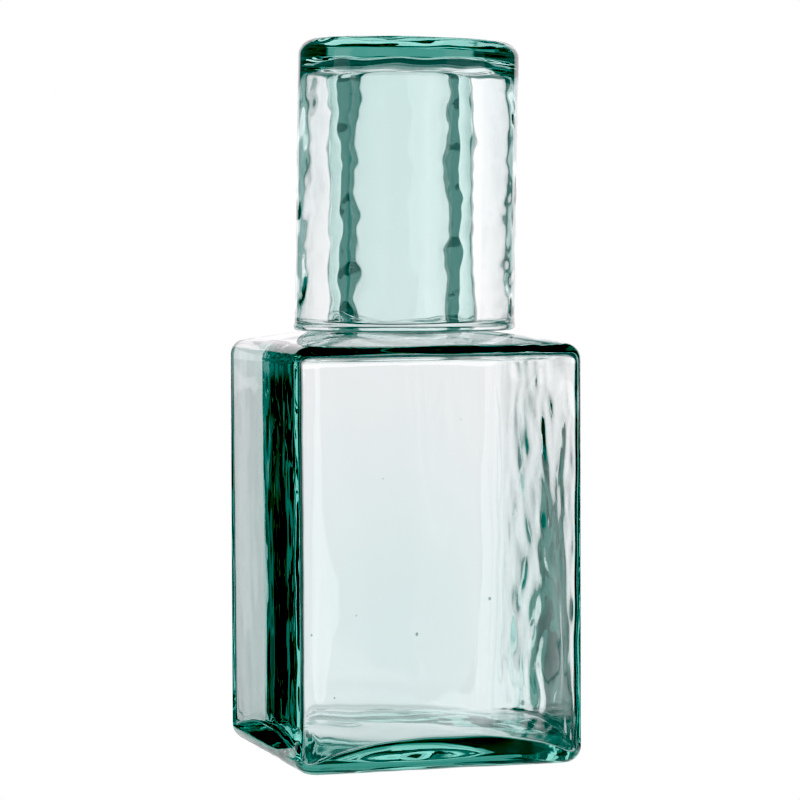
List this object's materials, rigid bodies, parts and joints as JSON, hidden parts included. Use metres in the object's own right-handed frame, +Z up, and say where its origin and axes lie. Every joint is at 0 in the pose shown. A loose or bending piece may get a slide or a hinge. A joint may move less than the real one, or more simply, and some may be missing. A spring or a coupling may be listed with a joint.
{
  "type": "bedside carafe with tumbler",
  "caption": "Square-bodied glass water carafe with a round neck, and a round tumbler that stands upside down over the neck as its lid.",
  "frame": {"origin": "middle of the base, on the surface that the carafe stands on", "axes": "+Z up along the neck, +X and +Y square to the body's flat sides; the picture's front side faces -Y"},
  "size_m": [0.1, 0.1, 0.2445],
  "materials": {
    "carafe_glass": "clear hand-blown glass with a green tint in the thick edges, rippled inside",
    "tumbler_glass": "clear hand-blown glass with a green tint in the thick base, rippled inside"
  },
  "bodies": {
    "carafe": {"carafe": "carafe_glass"},
    "tumbler": {"tumbler": "tumbler_glass"}
  },
  "joints": [
    {"name": "tumbler_lift", "type": "slide", "parent": "carafe", "child": "tumbler", "axis": [0, 0, 1], "range_m": [0, 0.12]}
  ]
}
